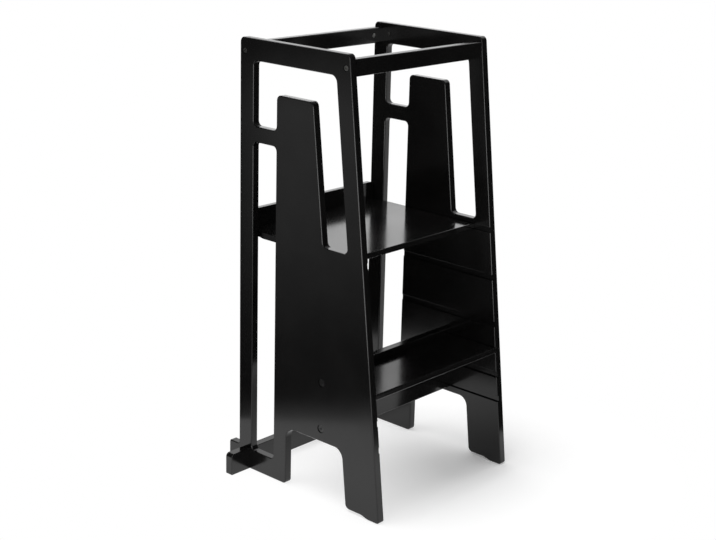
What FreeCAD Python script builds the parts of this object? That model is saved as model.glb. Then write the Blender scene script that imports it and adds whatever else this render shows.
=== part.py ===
import FreeCAD, Part
import math
import os

os.makedirs("parts", exist_ok=True)

# Toddler kitchen helper stool of painted boards.  All sizes in mm.
# x runs across, s runs forward from the back edge of the back posts, z runs up from the floor.
# The origin lies on the floor under the middle of the overall box, and the front faces -Y.

# Whole stool
HEIGHT = 900.0
WIDTH = 405.0
BOARD = 18.0
INNER = WIDTH / 2 - BOARD
MID_DEPTH = 182.5
PANEL_ARRIS = 2.3
RAIL_ARRIS = 3.0
SHELF_ARRIS = 2.0
THIN_ARRIS = 1.2

# Side panel outline
TOP_DEPTH = 291.0
FLOOR_DEPTH = 395.2
TOP_RADIUS = 10.0
HEEL_LENGTH = 29.5
HEEL_HEIGHT = 47.0
HEEL_RADIUS = 5.0
REAR_FOOT_RADIUS = 9.0
ARCH_BACK = 139.0
ARCH_TOP = 124.4
ARCH_RADIUS = 22.0
FRONT_LEG = 88.6
LEG_FOOT_RADIUS = 11.0
SOLE_BACK = 364.0
SOLE_RISE = 4.5
SOLE_RISE_BACK = 348.0
SOLE_RADIUS = 30.0
TOE_RADIUS = 6.0

# Side panel openings
BACK_POST = 38.0
FRONT_POST = 38.5
SLOT = 64.0
SLOT_RADIUS = 10.0
BEAM_UNDERSIDE = 857.0
BEAM_FRONT_RADIUS = 15.0
TONGUE_TOP = 799.0
BRIDGE_TOP = 728.5
BRIDGE_UNDERSIDE = 697.0
BACK_SLOT_BOTTOM = 43.5
FRONT_SLOT_BOTTOM = 522.5

# Shelf grooves in the inner faces
GROOVE_DEPTH = 4.0
GROOVE_HEIGHT = 12.4
GROOVE_LIP = 0.9
PLATFORM_LEVELS = (500.0, 400.0, 300.0)
STEP_LEVELS = (245.0, 192.0, 139.0)

# Platform and the rail along its back edge
SHELF = 12.0
SHELF_WIDTH = 376.0
PLATFORM_FRONT = 292.0
SHOULDER_BACK = 38.5
SHOULDER_FRONT = 52.5
SHOULDER_RADIUS = 20.0
TAIL_WIDTH = 367.0
STOP_RAIL = 12.0
STOP_RAIL_TOP = 551.0
STOP_RAIL_RADIUS = 12.0
STOP_RAIL_FOOT_RADIUS = 3.0

# Step and the cross board behind it
STEP_FRONT = 366.8
CROSS_BACK = 227.0
CROSS_BOTTOM = 135.0
CROSS_TOP = 272.0
CROSS_MIDDLE = CROSS_BACK + BOARD / 2

# Top rails: each one's middle, and the face that its nuts go in from, front (+1) or back (-1)
RAIL_BOTTOM = 857.0
RAIL_TOP = 890.0
BACK_RAIL = (13.7, 1)
FRONT_RAIL = (283.0, -1)
RAILS = (BACK_RAIL, FRONT_RAIL)

# Stabiliser board across both back feet
STABILISER_WIDTH = 505.0
STABILISER_HEIGHT = 46.0
STABILISER_BACK = 14.7
STABILISER_TOP_RADIUS = 8.0
STABILISER_FOOT_RADIUS = 3.0
STABILISER_RISE = 3.0
LAP_HEIGHT = 23.0

# Bolts with barrel nuts in the top rails, and screws with wide flat heads in the cross board
RAIL_BOLT_Z = 874.0
CROSS_SCREW_Z = (151.5, 248.0)
RAIL_BOLT = {"head": 5.0, "height": 6.0, "seat": 6.0, "depth": 7.0, "shank": 38.0, "key": 5.0}
CROSS_SCREW = {"head": 7.5, "height": 3.0, "seat": 8.5, "depth": 4.5, "shank": 45.0, "key": 4.0}
KEY_DEPTH_SHARE = 0.6
BOLT_RADIUS = 3.0
BOLT_HOLE_RADIUS = 3.3
NUT_RADIUS = 5.0
NUT_LENGTH = 14.0
NUT_BORE_DEPTH = 8.0
NUT_END_PLAY = 0.3
NUT_INSET = 24.5

# How far a cutting shape runs past the face that it cuts
OVERRUN = 1.0

ACROSS = FreeCAD.Vector(1, 0, 0)
FORWARD = FreeCAD.Vector(0, -1, 0)
UP = FreeCAD.Vector(0, 0, 1)
SIDES = (-1, 1)


def at(x, s, z):
    """Point in the part's frame."""
    return FreeCAD.Vector(x, MID_DEPTH - s, z)


def front_edge(z):
    """Depth s of the slanted front edge at height z."""
    return FLOOR_DEPTH + (TOP_DEPTH - FLOOR_DEPTH) * z / HEIGHT


def rounded_face(corners):
    """Flat face from (point, radius) corners, each rounded by an arc."""
    arcs = []
    for i, (here, radius) in enumerate(corners):
        before = (corners[i - 1][0] - here).normalize()
        after = (corners[(i + 1) % len(corners)][0] - here).normalize()
        half = before.getAngle(after) / 2
        reach = radius / math.tan(half)
        middle = here + (before + after).normalize() * radius * (1 / math.sin(half) - 1)
        arcs.append((here + before * reach, middle, here + after * reach))
    edges = []
    for i, (start, middle, end) in enumerate(arcs):
        if corners[i][1] > 0:
            edges.append(Part.Arc(start, middle, end).toShape())
        edges.append(Part.LineSegment(end, arcs[(i + 1) % len(arcs)][0]).toShape())
    return Part.Face(Part.Wire(edges))


def side_face(x, corners):
    """Face across x from (s, z, radius) corners."""
    return rounded_face([(at(x, s, z), radius) for s, z, radius in corners])


def box(x, s, z):
    """Block between pairs of limits in x, s and z."""
    corner = at(min(x), max(s), min(z))
    return Part.makeBox(abs(x[1] - x[0]), abs(s[1] - s[0]), abs(z[1] - z[0]), corner)


def eased_board(s, z, radius):
    """Board from panel to panel, its four long edges rounded."""
    board = box((-INNER, INNER), s, z)
    return board.makeFillet(radius, [e for e in board.Edges if e.BoundBox.XLength > INNER])


def panel_outline(x):
    """Heel, back post, top, slanted front edge, front foot, arch and rear foot."""
    leg_back_top = front_edge(ARCH_TOP) - FRONT_LEG
    leg_back_bottom = front_edge(SOLE_RISE) - FRONT_LEG
    return side_face(x, [
        (-HEEL_LENGTH, 0, HEEL_RADIUS),
        (-HEEL_LENGTH, HEEL_HEIGHT, HEEL_RADIUS),
        (0, HEEL_HEIGHT, HEEL_RADIUS),
        (0, HEIGHT, TOP_RADIUS),
        (TOP_DEPTH, HEIGHT, TOP_RADIUS),
        (FLOOR_DEPTH, 0, TOE_RADIUS),
        (SOLE_BACK, 0, SOLE_RADIUS),
        (SOLE_RISE_BACK, SOLE_RISE, SOLE_RADIUS),
        (leg_back_bottom, SOLE_RISE, LEG_FOOT_RADIUS),
        (leg_back_top, ARCH_TOP, ARCH_RADIUS),
        (ARCH_BACK, ARCH_TOP, ARCH_RADIUS),
        (ARCH_BACK, 0, REAR_FOOT_RADIUS),
    ])


def window_outline(x):
    """Opening under the top beam, with the tongue standing up between its two slots."""
    tongue_back = BACK_POST + SLOT
    post_top = front_edge(BEAM_UNDERSIDE) - FRONT_POST
    post_bottom = front_edge(FRONT_SLOT_BOTTOM) - FRONT_POST
    tongue_front_top = front_edge(TONGUE_TOP) - FRONT_POST - SLOT
    return side_face(x, [
        (BACK_POST, BRIDGE_TOP, SLOT_RADIUS),
        (BACK_POST, BEAM_UNDERSIDE, SLOT_RADIUS),
        (post_top, BEAM_UNDERSIDE, BEAM_FRONT_RADIUS),
        (post_bottom, FRONT_SLOT_BOTTOM, SLOT_RADIUS),
        (post_bottom - SLOT, FRONT_SLOT_BOTTOM, SLOT_RADIUS),
        (tongue_front_top, TONGUE_TOP, SLOT_RADIUS),
        (tongue_back, TONGUE_TOP, SLOT_RADIUS),
        (tongue_back, BRIDGE_TOP, SLOT_RADIUS),
    ])


def back_slot_outline(x):
    """Long slot beside the back post, below the bridge."""
    return side_face(x, [
        (BACK_POST, BACK_SLOT_BOTTOM, SLOT_RADIUS),
        (BACK_POST, BRIDGE_UNDERSIDE, SLOT_RADIUS),
        (BACK_POST + SLOT, BRIDGE_UNDERSIDE, SLOT_RADIUS),
        (BACK_POST + SLOT, BACK_SLOT_BOTTOM, SLOT_RADIUS),
    ])


def groove(outward, back, level):
    """Shelf groove with eased lips, open at the front edge of the panel."""
    mouth = outward * (INNER - GROOVE_LIP)
    lip = outward * (INNER + GROOVE_LIP)
    bottom = outward * (INNER + GROOVE_DEPTH)
    top = level + GROOVE_HEIGHT
    section = Part.makePolygon([
        at(mouth, back, level - 2 * GROOVE_LIP),
        at(lip, back, level),
        at(bottom, back, level),
        at(bottom, back, top),
        at(lip, back, top),
        at(mouth, back, top + 2 * GROOVE_LIP),
        at(mouth, back, level - 2 * GROOVE_LIP),
    ])
    return Part.Face(section).extrude(FORWARD * (FLOOR_DEPTH - back))


def bolt_seat(outward, s, z, kind):
    """Counterbore in the outer face, with its clearance hole right through."""
    mouth = at(outward * WIDTH / 2, s, z)
    seat = Part.makeCylinder(kind["seat"], kind["depth"], mouth, ACROSS * -outward)
    return seat.fuse(Part.makeCylinder(BOLT_HOLE_RADIUS, BOARD, mouth, ACROSS * -outward))


def side_panel(outward):
    """Side panel; outward is -1 for the left one and +1 for the right one."""
    outer = outward * WIDTH / 2
    inward = ACROSS * (-outward * BOARD)
    panel = panel_outline(outer).extrude(inward)
    panel = panel.cut([window_outline(outer).extrude(inward), back_slot_outline(outer).extrude(inward)])
    rims = [e for e in panel.Edges if e.BoundBox.XLength < 0.01]
    panel = panel.makeChamfer(PANEL_ARRIS, rims)
    cuts = [groove(outward, BACK_POST + SLOT - OVERRUN, level) for level in PLATFORM_LEVELS]
    cuts += [groove(outward, CROSS_BACK + BOARD, level) for level in STEP_LEVELS]
    cuts += [bolt_seat(outward, middle, RAIL_BOLT_Z, RAIL_BOLT) for middle, _ in RAILS]
    cuts += [bolt_seat(outward, CROSS_MIDDLE, z, CROSS_SCREW) for z in CROSS_SCREW_Z]
    x_limits = (outer + outward * OVERRUN, outward * (INNER - OVERRUN))
    cuts.append(box(x_limits, (STABILISER_BACK, STABILISER_BACK + BOARD), (-OVERRUN, LAP_HEIGHT)))
    return panel.cut(cuts)


def nut_hole(outward, middle, z, face):
    """Cross hole for a barrel nut, drilled in from the given face, and the bolt's hole to it."""
    mouth = at(outward * (INNER - NUT_INSET), middle + face * BOARD / 2, z)
    depth = (BOARD + NUT_LENGTH) / 2 + NUT_END_PLAY
    cross = Part.makeCylinder(NUT_RADIUS, depth, mouth, FORWARD * -face)
    end = at(outward * INNER, middle, z)
    bore = Part.makeCylinder(BOLT_HOLE_RADIUS, NUT_INSET, end, ACROSS * -outward)
    return cross.fuse(bore)


def barrel_nut(outward, middle, z):
    """Barrel nut with the bore that takes the end of a bolt."""
    x = outward * (INNER - NUT_INSET)
    nut = Part.makeCylinder(NUT_RADIUS, NUT_LENGTH, at(x, middle - NUT_LENGTH / 2, z), FORWARD)
    mouth = at(x + outward * (NUT_RADIUS + OVERRUN), middle, z)
    return nut.cut(Part.makeCylinder(BOLT_RADIUS, NUT_BORE_DEPTH + OVERRUN, mouth, ACROSS * -outward))


def key_socket(across_flats, place, direction):
    """Hexagonal hole for a key."""
    radius = across_flats / math.sqrt(3)
    turns = [math.radians(60 * i) for i in range(7)]
    rim = Part.makePolygon([place + FreeCAD.Vector(0, math.cos(t), math.sin(t)) * radius for t in turns])
    return Part.Face(rim).extrude(direction)


def bolt(outward, s, z, kind):
    """Bolt or screw with a key socket, its head under the outer face of the panel."""
    inward = ACROSS * -outward
    seat = at(outward * (WIDTH / 2 - kind["depth"]), s, z)
    top = seat - inward * kind["height"]
    head = Part.makeCylinder(kind["head"], kind["height"], top, inward)
    shank = Part.makeCylinder(BOLT_RADIUS, kind["shank"], seat, inward)
    key = key_socket(kind["key"], top, inward * kind["height"] * KEY_DEPTH_SHARE)
    return head.fuse(shank).removeSplitter().cut(key)


def top_rail(middle, face):
    """Top rail between the panels, with holes for bolts and barrel nuts."""
    rail = eased_board((middle - BOARD / 2, middle + BOARD / 2), (RAIL_BOTTOM, RAIL_TOP), RAIL_ARRIS)
    return rail.cut([nut_hole(outward, middle, RAIL_BOLT_Z, face) for outward in SIDES])


def cross_board():
    """Fixed board behind the step, screwed between the panels."""
    board = eased_board((CROSS_BACK, CROSS_BACK + BOARD), (CROSS_BOTTOM, CROSS_TOP), SHELF_ARRIS)
    depth = CROSS_SCREW["depth"] + CROSS_SCREW["shank"] - BOARD
    return board.cut([
        Part.makeCylinder(BOLT_RADIUS, depth, at(outward * INNER, CROSS_MIDDLE, z), ACROSS * -outward)
        for outward in SIDES for z in CROSS_SCREW_Z])


def stabiliser():
    """Board on edge through both back feet, with an outrigger standing out at each side."""
    half = STABILISER_WIDTH / 2
    back = STABILISER_BACK
    foot = INNER - STABILISER_RISE
    rise = foot - STABILISER_RISE
    board = rounded_face([
        (at(-half, back, 0), STABILISER_FOOT_RADIUS),
        (at(-half, back, STABILISER_HEIGHT), STABILISER_TOP_RADIUS),
        (at(half, back, STABILISER_HEIGHT), STABILISER_TOP_RADIUS),
        (at(half, back, 0), STABILISER_FOOT_RADIUS),
        (at(foot, back, 0), 0),
        (at(rise, back, STABILISER_RISE), 0),
        (at(-rise, back, STABILISER_RISE), 0),
        (at(-foot, back, 0), 0),
    ]).extrude(FORWARD * BOARD)
    board = board.makeChamfer(THIN_ARRIS, [e for e in board.Edges if e.BoundBox.YLength < 0.01])
    s_limits = (back - OVERRUN, back + BOARD + OVERRUN)
    z_limits = (LAP_HEIGHT, STABILISER_HEIGHT + OVERRUN)
    laps = [box((outward * INNER, outward * WIDTH / 2), s_limits, z_limits) for outward in SIDES]
    return board.cut(laps)


def platform_board():
    """Platform, narrower behind its shoulders so that it passes between the back posts."""
    wide = SHELF_WIDTH / 2
    tail = TAIL_WIDTH / 2
    level = PLATFORM_LEVELS[0]
    right = [
        (at(wide, PLATFORM_FRONT, level), 0),
        (at(wide, SHOULDER_FRONT, level), SHOULDER_RADIUS),
        (at(tail, SHOULDER_BACK, level), SHOULDER_RADIUS),
        (at(tail, STOP_RAIL, level), 0),
    ]
    left = [(FreeCAD.Vector(-p.x, p.y, p.z), radius) for p, radius in reversed(right)]
    board = rounded_face(right + left).extrude(UP * SHELF)
    front_y = at(0, PLATFORM_FRONT, 0).y
    crosswise = [e for e in board.Edges if e.BoundBox.XLength > wide]
    return board.makeFillet(SHELF_ARRIS, [e for e in crosswise if abs(e.CenterOfMass.y - front_y) < 0.01])


def platform_back_rail():
    """Rail along the back edge of the platform, which keeps the child's feet from sliding off."""
    tail = TAIL_WIDTH / 2
    level = PLATFORM_LEVELS[0]
    rail = rounded_face([
        (at(-tail, 0, level), STOP_RAIL_FOOT_RADIUS),
        (at(-tail, 0, STOP_RAIL_TOP), STOP_RAIL_RADIUS),
        (at(tail, 0, STOP_RAIL_TOP), STOP_RAIL_RADIUS),
        (at(tail, 0, level), STOP_RAIL_FOOT_RADIUS),
    ]).extrude(FORWARD * STOP_RAIL)
    return rail.makeChamfer(THIN_ARRIS, [e for e in rail.Edges if e.BoundBox.YLength < 0.01])


def step_board():
    """Step, held in the grooves with its back edge against the cross board."""
    half = SHELF_WIDTH / 2
    level = STEP_LEVELS[0]
    board = box((-half, half), (CROSS_BACK + BOARD, STEP_FRONT), (level, level + SHELF))
    return board.makeFillet(SHELF_ARRIS, [e for e in board.Edges if e.BoundBox.XLength > half])


def save(name, solids):
    """Write one node, as one solid or as a group of separate solids."""
    shape = solids[0] if len(solids) == 1 else Part.makeCompound(solids)
    shape.exportStep("parts/" + name + ".step")
    print(name, len(solids), round(shape.Volume), shape.isValid())


save("left_side_panel", [side_panel(-1)])
save("right_side_panel", [side_panel(1)])
save("back_top_rail", [top_rail(*BACK_RAIL)])
save("front_top_rail", [top_rail(*FRONT_RAIL)])
save("lower_cross_board", [cross_board()])
save("stabiliser_board", [stabiliser()])
save("platform_board", [platform_board()])
save("platform_back_rail", [platform_back_rail()])
save("step_board", [step_board()])
save("top_rail_bolts", [
    bolt(outward, middle, RAIL_BOLT_Z, RAIL_BOLT) for outward in SIDES for middle, _ in RAILS])
save("top_rail_barrel_nuts", [
    barrel_nut(outward, middle, RAIL_BOLT_Z) for outward in SIDES for middle, _ in RAILS])
save("cross_board_screws", [
    bolt(outward, CROSS_MIDDLE, z, CROSS_SCREW) for outward in SIDES for z in CROSS_SCREW_Z])
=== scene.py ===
import math

import bpy
from mathutils import Matrix, Vector

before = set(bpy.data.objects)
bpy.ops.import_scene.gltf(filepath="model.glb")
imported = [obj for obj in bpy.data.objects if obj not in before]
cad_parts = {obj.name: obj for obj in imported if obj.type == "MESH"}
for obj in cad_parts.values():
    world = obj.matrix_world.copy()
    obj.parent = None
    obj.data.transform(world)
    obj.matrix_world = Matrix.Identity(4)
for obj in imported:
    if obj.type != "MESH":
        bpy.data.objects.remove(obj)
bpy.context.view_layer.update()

# Camera solved from the photo: place, turn, lens and where its axis meets the picture
CAMERA_PLACE = Vector((-2.10774, -1.89036, 1.29869))
CAMERA_YAW = math.radians(-49.58)
CAMERA_PITCH = math.radians(-15.316)
CAMERA_ROLL = math.radians(2.005)
PICTURE_WIDTH = 716
PICTURE_HEIGHT = 540
FOCAL_PIXELS = 1446.19
AXIS_PIXEL = (410.48, 224.70)
SENSOR = 36.0

# Eased edges are shaded round: points closer than MERGE are one, edges above SHARP_EDGE stay sharp, and
# elsewhere each patch of faces pulls the normal by this power of its area
MERGE = 0.00002
SHARP_EDGE = math.radians(50)
AREA_POWER = 3.0

# Lacquer: how fine each pattern is, how high fibres and orange peel stand, darkest and lightest tone, and sheen
UPRIGHT_GRAIN = (1.0, 1.0, 0.04)
ACROSS_GRAIN = (0.04, 1.0, 1.0)
FIBRE_SCALE = 160.0
PEEL_SCALE = 700.0
TONE_SCALE = 14.0
SHEEN_SCALE = 9.0
FIBRE_HEIGHT = 0.00002
PEEL_HEIGHT = 0.00001
LACQUER_DARK = (0.0022, 0.0021, 0.0021, 1)
LACQUER_LIGHT = (0.0042, 0.0040, 0.0039, 1)
LACQUER_SHEEN = (0.12, 0.18)
LACQUER_IOR = 1.5

# Plated steel: how fine the stains, the uneven sheen and the turning marks are, and how high the marks stand
STAIN_SCALE = 220.0
STEEL_SHEEN_SCALE = 500.0
MARK_SCALE = 2500.0
MARK_HEIGHT = 0.00002

# Floor: half its side, its colour for light and for the eye, middle of the shadow, and the distances from it
# between which the floor goes over to white, from a least share on
FLOOR_HALF = 6.0
FLOOR_COLOUR = 0.85
FLOOR_COLOUR_SEEN = 1.25
SHADOW_MIDDLE = (0.13, -0.15)
WHITE_FROM = 0.05
WHITE_TO = 0.47
WHITE_LEAST = 0.1

# Cards that only the gloss shows: name, middle of the lower edge, turn about z, tilt, width, brightness at
# heights above the lower edge, and from which x to which the card fades across; NO_FADE lies beyond every card
FACING = math.radians(49.5)
FLAT = math.pi / 2
LEFT_LEVELS = ((0.0, 0.45), (0.05, 0.07), (0.18, 0.08), (0.43, 0.27), (0.71, 0.4), (0.85, 0.1), (1.4, 0.08))
LEFT_FADE = (0.08, 0.22)
NO_FADE = (10.0, 11.0)
FADED = 0.1
CARDS = (
    ("left_card", (-0.474, 0.235, 0), FACING, 0.0, 1.8, LEFT_LEVELS, LEFT_FADE),
    ("right_card", (0.343, -0.443, 0), FACING, 0.0, 0.63, ((0.0, 0.03), (1.4, 0.04))),
    ("front_light", (-1.27, -1.5, 0), -FACING, 0.0, 1.8, ((0.0, 4.5), (0.8, 4.5))),
    ("back_light", (0.57, 0.49, 0.65), -FACING, 0.0, 1.0, ((0.0, 1.55), (0.33, 1.55))),
    ("ceiling", (0, 1.0, 1.8), 0.0, FLAT, 2.0, ((0.0, 0.1), (2.0, 0.1))),
)

# Even light of the room, and the lamp above the part: place, point that it faces, sides and power
ROOM_LIGHT = 0.6
KEY_PLACE = (-0.5, 0.72, 2.9)
KEY_TARGET = (0, 0, 0.3)
KEY_SIZE = (1.8, 1.8)
KEY_POWER = 55


# ---------------------------------------------------------------- node helpers

class Tree:
    """Short way to add nodes to a material or world and link them."""

    def __init__(self, owner):
        owner.use_nodes = True
        self.tree = owner.node_tree
        self.tree.nodes.clear()

    def fill(self, socket, value):
        if isinstance(value, bpy.types.NodeSocket):
            self.tree.links.new(value, socket)
        else:
            socket.default_value = value

    def add(self, kind, settings=None, **inputs):
        node = self.tree.nodes.new(kind)
        for key, value in (settings or {}).items():
            setattr(node, key, value)
        for key, value in inputs.items():
            self.fill(node.inputs[key.replace("_", " ")], value)
        return node

    def object_point(self, stretch=(1, 1, 1)):
        """Point in the part's frame, stretched for grain."""
        point = self.add("ShaderNodeTexCoord").outputs["Object"]
        return self.add("ShaderNodeMapping", Vector=point, Scale=stretch).outputs["Vector"]

    def noise(self, point, scale, detail=3.0, roughness=0.5):
        node = self.add("ShaderNodeTexNoise", Vector=point, Scale=scale, Detail=detail, Roughness=roughness)
        return node.outputs["Fac"]

    def ramp(self, factor, low, high, dark, light):
        """Colour between two values as the factor goes from low to high."""
        node = self.add("ShaderNodeValToRGB", Fac=factor)
        first, last = node.color_ramp.elements
        first.position, last.position = low, high
        first.color, last.color = dark, light
        return node.outputs["Color"]

    def between(self, factor, low, high, to_low, to_high):
        """Number between two values as the factor goes from low to high."""
        node = self.add("ShaderNodeMapRange", Value=factor, From_Min=low, From_Max=high)
        self.fill(node.inputs["To Min"], to_low)
        self.fill(node.inputs["To Max"], to_high)
        return node.outputs["Result"]

    def bump(self, height, distance, strength, normal=None):
        node = self.add("ShaderNodeBump", Height=height, Distance=distance, Strength=strength)
        if normal is not None:
            self.fill(node.inputs["Normal"], normal)
        return node.outputs["Normal"]

    def math(self, operation, first, second):
        node = self.add("ShaderNodeMath", {"operation": operation})
        self.fill(node.inputs[0], first)
        self.fill(node.inputs[1], second)
        return node.outputs["Value"]

    def mix(self, factor, first, second):
        node = self.add("ShaderNodeMixShader", Fac=factor)
        self.fill(node.inputs[1], first)
        self.fill(node.inputs[2], second)
        return node.outputs["Shader"]

    def seen(self):
        """1 for rays by which the eye sees the background: straight, in gloss and through clear things."""
        path = self.add("ShaderNodeLightPath")
        gloss = self.math("MAXIMUM", path.outputs["Is Glossy Ray"], path.outputs["Is Transmission Ray"])
        return self.math("MAXIMUM", path.outputs["Is Camera Ray"], gloss)

    def end(self, shader, kind="ShaderNodeOutputMaterial"):
        self.tree.links.new(shader, self.add(kind).inputs["Surface"])


def grey(value):
    return (value, value, value, 1.0)


# ---------------------------------------------------------------- materials

def lacquer(name, grain):
    """Glossy black lacquer: fine orange peel, faint fibres under it, uneven sheen."""
    material = bpy.data.materials.new(name)
    tree = Tree(material)
    point = tree.object_point()
    fibre = tree.noise(tree.object_point(grain), FIBRE_SCALE, 4.0, 0.6)
    peel = tree.noise(point, PEEL_SCALE, 2.0)
    tone = tree.ramp(tree.noise(point, TONE_SCALE, 5.0), 0.35, 0.7, LACQUER_DARK, LACQUER_LIGHT)
    sheen = tree.between(tree.noise(point, SHEEN_SCALE), 0.3, 0.7, *LACQUER_SHEEN)
    normal = tree.bump(peel, PEEL_HEIGHT, 0.5, tree.bump(fibre, FIBRE_HEIGHT, 0.5))
    shader = tree.add("ShaderNodeBsdfPrincipled", Base_Color=tone, Roughness=sheen, Normal=normal)
    tree.fill(shader.inputs["IOR"], LACQUER_IOR)
    tree.end(shader.outputs["BSDF"])
    return material


def metal(name, dark, light, smoothest, roughest):
    """Plated steel with fine turning marks and slight stains."""
    material = bpy.data.materials.new(name)
    tree = Tree(material)
    point = tree.object_point()
    tone = tree.ramp(tree.noise(point, STAIN_SCALE, 4.0), 0.3, 0.75, dark, light)
    sheen = tree.between(tree.noise(point, STEEL_SHEEN_SCALE), 0.3, 0.7, smoothest, roughest)
    normal = tree.bump(tree.noise(point, MARK_SCALE, 2.0), MARK_HEIGHT, 0.4)
    shader = tree.add("ShaderNodeBsdfPrincipled", Base_Color=tone, Roughness=sheen, Normal=normal, Metallic=1.0)
    tree.end(shader.outputs["BSDF"])
    return material


def arris_shading():
    """Node group that shades eased edges round: where faces meet softly, the normal is the largest patch's."""
    group = bpy.data.node_groups.new("arris_shading", "GeometryNodeTree")
    group.interface.new_socket("Geometry", in_out="INPUT", socket_type="NodeSocketGeometry")
    group.interface.new_socket("Geometry", in_out="OUTPUT", socket_type="NodeSocketGeometry")

    def add(kind, settings=None, **links):
        """Adds a node; i0, i1 and so on name its inputs by their number."""
        node = group.nodes.new(kind)
        for key, value in (settings or {}).items():
            setattr(node, key, value)
        for key, value in links.items():
            name = key.replace("_", " ")
            socket = node.inputs[int(name[1:])] if name[1:].isdigit() else node.inputs[name]
            if isinstance(value, bpy.types.NodeSocket):
                group.links.new(value, socket)
            else:
                socket.default_value = value
        return node

    mesh = add("NodeGroupInput").outputs[0]
    face_area = add("GeometryNodeInputMeshFaceArea").outputs["Area"]
    patch = add("GeometryNodeInputMeshIsland").outputs["Island Index"]
    patch_area = add("GeometryNodeAccumulateField", {"domain": "FACE"}, Value=face_area, Group_ID=patch)
    weight = add("ShaderNodeMath", {"operation": "POWER"}, i0=patch_area.outputs["Total"], i1=AREA_POWER)
    normal = add("GeometryNodeInputNormal").outputs["Normal"]
    pull = add("ShaderNodeVectorMath", {"operation": "SCALE"}, Vector=normal, Scale=weight.outputs[0])
    kept = add("GeometryNodeCaptureAttribute", {"domain": "CORNER"}, Geometry=mesh)
    kept.capture_items.new("VECTOR", "pull")
    group.links.new(pull.outputs["Vector"], kept.inputs["pull"])
    joined = add("GeometryNodeMergeByDistance", Geometry=kept.outputs["Geometry"], Distance=MERGE)
    smooth = add("GeometryNodeSetShadeSmooth", Geometry=joined.outputs[0])
    angle = add("GeometryNodeInputMeshEdgeAngle").outputs["Unsigned Angle"]
    sharp = add("FunctionNodeCompare", i0=angle, i1=SHARP_EDGE)
    split = add("GeometryNodeSplitEdges", Mesh=smooth.outputs[0], Selection=sharp.outputs[0])
    unit = add("ShaderNodeVectorMath", {"operation": "NORMALIZE"}, Vector=kept.outputs["pull"])
    done = add("GeometryNodeSetMeshNormal", {"mode": "FREE", "domain": "POINT"}, Mesh=split.outputs[0])
    group.links.new(unit.outputs["Vector"], done.inputs["Custom Normal"])
    add("NodeGroupOutput", i0=done.outputs[0])
    return group


def dress_nodes():
    """Gives every carried-over node its material, and rounds the shading of its eased edges."""
    upright = lacquer("black_lacquer_upright", UPRIGHT_GRAIN)
    across = lacquer("black_lacquer_across", ACROSS_GRAIN)
    black_steel = metal("black_steel", grey(0.05), grey(0.12), 0.25, 0.4)
    bright_steel = metal("bright_steel", (0.22, 0.22, 0.21, 1), (0.36, 0.36, 0.35, 1), 0.25, 0.4)
    zinc = metal("zinc_plated_steel", (0.48, 0.48, 0.47, 1), (0.66, 0.66, 0.64, 1), 0.5, 0.62)
    shading = arris_shading()
    for name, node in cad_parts.items():
        if "nuts" in name:
            material = zinc
        elif "bolts" in name:
            material = bright_steel
        elif "screws" in name:
            material = black_steel
        elif "side_panel" in name:
            material = upright
        else:
            material = across
        node.data.materials.clear()
        node.data.materials.append(material)
        node.modifiers.new("arrises", "NODES").node_group = shading


# ---------------------------------------------------------------- studio

def stage_plane(name, width, height, place, turn):
    """Plane of the stage: its own x runs across, from the middle, and its own z runs up from its lower edge."""
    half = width / 2
    corners = [(-half, 0, 0), (half, 0, 0), (half, 0, height), (-half, 0, height)]
    mesh = bpy.data.meshes.new(name)
    mesh.from_pydata(corners, [], [(0, 1, 2, 3)])
    plane = bpy.data.objects.new(name, mesh)
    bpy.context.scene.collection.objects.link(plane)
    plane.location = place
    plane.rotation_euler = turn
    mesh.materials.append(bpy.data.materials.new(name))
    return plane


def floor():
    """Pale floor that takes the part's shadow and goes over to the white background around it."""
    side = 2 * FLOOR_HALF
    plane = stage_plane("floor", side, side, (0, FLOOR_HALF, 0), (FLAT, 0, 0))
    tree = Tree(plane.data.materials[0])
    away = tree.add("ShaderNodeVectorMath", {"operation": "DISTANCE"})
    tree.fill(away.inputs[0], tree.object_point())
    tree.fill(away.inputs[1], (SHADOW_MIDDLE[0], 0, FLOOR_HALF - SHADOW_MIDDLE[1]))
    clear = tree.between(away.outputs["Value"], WHITE_FROM, WHITE_TO, WHITE_LEAST, 1.0)
    eye = tree.add("ShaderNodeLightPath").outputs["Is Camera Ray"]
    shade = tree.between(eye, 0.0, 1.0, FLOOR_COLOUR, FLOOR_COLOUR_SEEN)
    paper = tree.add("ShaderNodeBsdfDiffuse", Color=shade)
    white = tree.add("ShaderNodeEmission", Color=grey(1.0), Strength=1.0)
    share = tree.math("MULTIPLY", clear, tree.seen())
    tree.end(tree.mix(share, paper.outputs["BSDF"], white.outputs["Emission"]))


def card(name, place, turn, tilt, width, levels, fade=NO_FADE):
    """Card beside the picture that only the gloss shows; its fade dims it across, from one x to another."""
    top = levels[-1][0]
    brightest = max(level for height, level in levels)
    plane = stage_plane(name, width, top, place, (tilt, 0, turn))
    plane.visible_camera = False
    plane.visible_diffuse = False
    plane.visible_shadow = False
    plane.visible_transmission = False
    tree = Tree(plane.data.materials[0])
    split = tree.add("ShaderNodeSeparateXYZ", Vector=tree.object_point())
    ramp = tree.add("ShaderNodeValToRGB", Fac=tree.math("DIVIDE", split.outputs["Z"], top))
    stops = ramp.color_ramp.elements
    while len(stops) < len(levels):
        stops.new(0.5)
    for stop, (height, level) in zip(stops, levels):
        stop.position = height / top
        stop.color = grey(level / brightest)
    across = tree.between(split.outputs["X"], *fade, 1.0, FADED)
    shine = tree.math("MULTIPLY", across, brightest)
    tree.end(tree.add("ShaderNodeEmission", Color=ramp.outputs["Color"], Strength=shine).outputs["Emission"])


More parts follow.
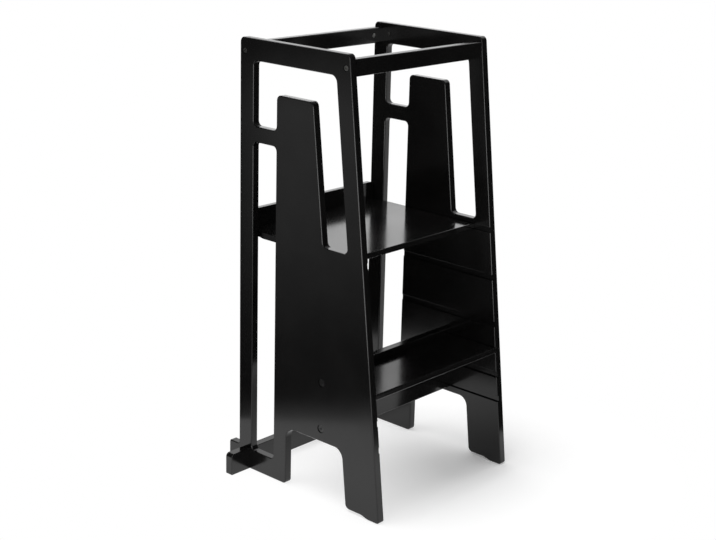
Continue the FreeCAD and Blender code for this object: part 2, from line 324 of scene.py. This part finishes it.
def studio_world():
    """White background, and a dimmer even light on the part."""
    world = bpy.data.worlds.new("studio")
    bpy.context.scene.world = world
    tree = Tree(world)
    room = tree.add("ShaderNodeBackground", Color=grey(1.0), Strength=ROOM_LIGHT)
    white = tree.add("ShaderNodeBackground", Color=grey(1.0), Strength=1.0)
    mixed = tree.mix(tree.seen(), room.outputs["Background"], white.outputs["Background"])
    tree.end(mixed, "ShaderNodeOutputWorld")


def key_lamp():
    """Large soft lamp above and behind the part, facing it."""
    data = bpy.data.lights.new("key", "AREA")
    data.shape = "RECTANGLE"
    data.size, data.size_y = KEY_SIZE
    data.energy = KEY_POWER
    lamp = bpy.data.objects.new("key", data)
    bpy.context.scene.collection.objects.link(lamp)
    lamp.location = KEY_PLACE
    lamp.rotation_euler = (Vector(KEY_TARGET) - Vector(KEY_PLACE)).to_track_quat("-Z", "Y").to_euler()


def camera():
    """Camera at the photo's place, with the photo's frame."""
    level = math.cos(CAMERA_PITCH)
    forward = Vector((-level * math.sin(CAMERA_YAW), level * math.cos(CAMERA_YAW), math.sin(CAMERA_PITCH)))
    level_right = forward.cross(Vector((0, 0, 1))).normalized()
    level_up = level_right.cross(forward)
    right = level_right * math.cos(CAMERA_ROLL) + level_up * math.sin(CAMERA_ROLL)
    up = level_up * math.cos(CAMERA_ROLL) - level_right * math.sin(CAMERA_ROLL)
    data = bpy.data.cameras.new("camera")
    data.sensor_fit = "HORIZONTAL"
    data.sensor_width = SENSOR
    data.lens = SENSOR * FOCAL_PIXELS / PICTURE_WIDTH
    data.shift_x = (PICTURE_WIDTH / 2 - AXIS_PIXEL[0]) / PICTURE_WIDTH
    data.shift_y = (AXIS_PIXEL[1] - PICTURE_HEIGHT / 2) / PICTURE_WIDTH
    eye = bpy.data.objects.new("camera", data)
    bpy.context.scene.collection.objects.link(eye)
    eye.matrix_world = Matrix.Translation(CAMERA_PLACE) @ Matrix((right, up, -forward)).transposed().to_4x4()
    bpy.context.scene.camera = eye


dress_nodes()
floor()
for row in CARDS:
    card(*row)
studio_world()
key_lamp()
camera()
bpy.context.scene.view_settings.view_transform = "Standard"
